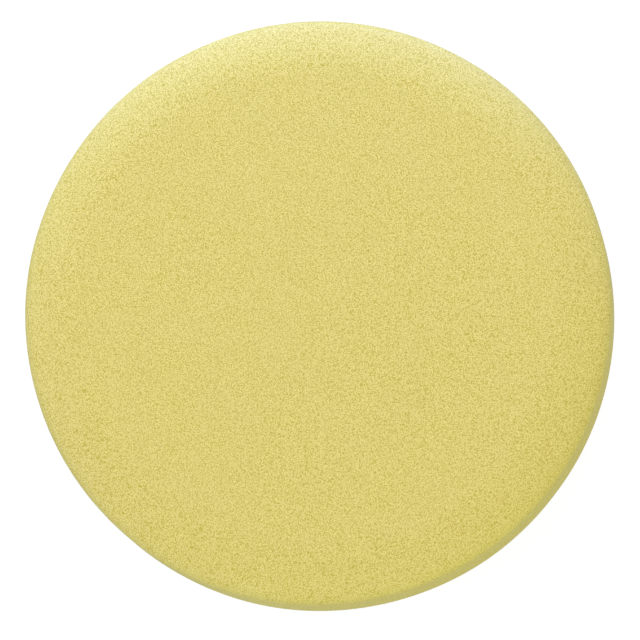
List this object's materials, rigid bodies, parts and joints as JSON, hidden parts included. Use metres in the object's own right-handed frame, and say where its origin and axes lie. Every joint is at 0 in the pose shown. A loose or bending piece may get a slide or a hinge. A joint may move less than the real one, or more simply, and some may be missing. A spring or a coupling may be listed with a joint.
{
  "type": "polishing pad",
  "caption": "Round foam polishing pad with a flat working face, a rounded rim and a hook-and-loop fabric back that grips a machine polisher's backing plate.",
  "frame": {"origin": "centre of the loop face, where the pad meets its backing plate", "axes": "+Z along the pad's axis, from the loop face to the working face; the pad is round, so X and Y are any two directions across it"},
  "size_m": [0.15, 0.15, 0.0272],
  "materials": {
    "foam": "matte",
    "film": "satin",
    "knit": "matte",
    "loops": "matte"
  },
  "bodies": {
    "root": {"foam_disc": "foam", "bond_film": "film", "backing_fabric": "knit", "loop_pile": "loops"}
  },
  "joints": []
}
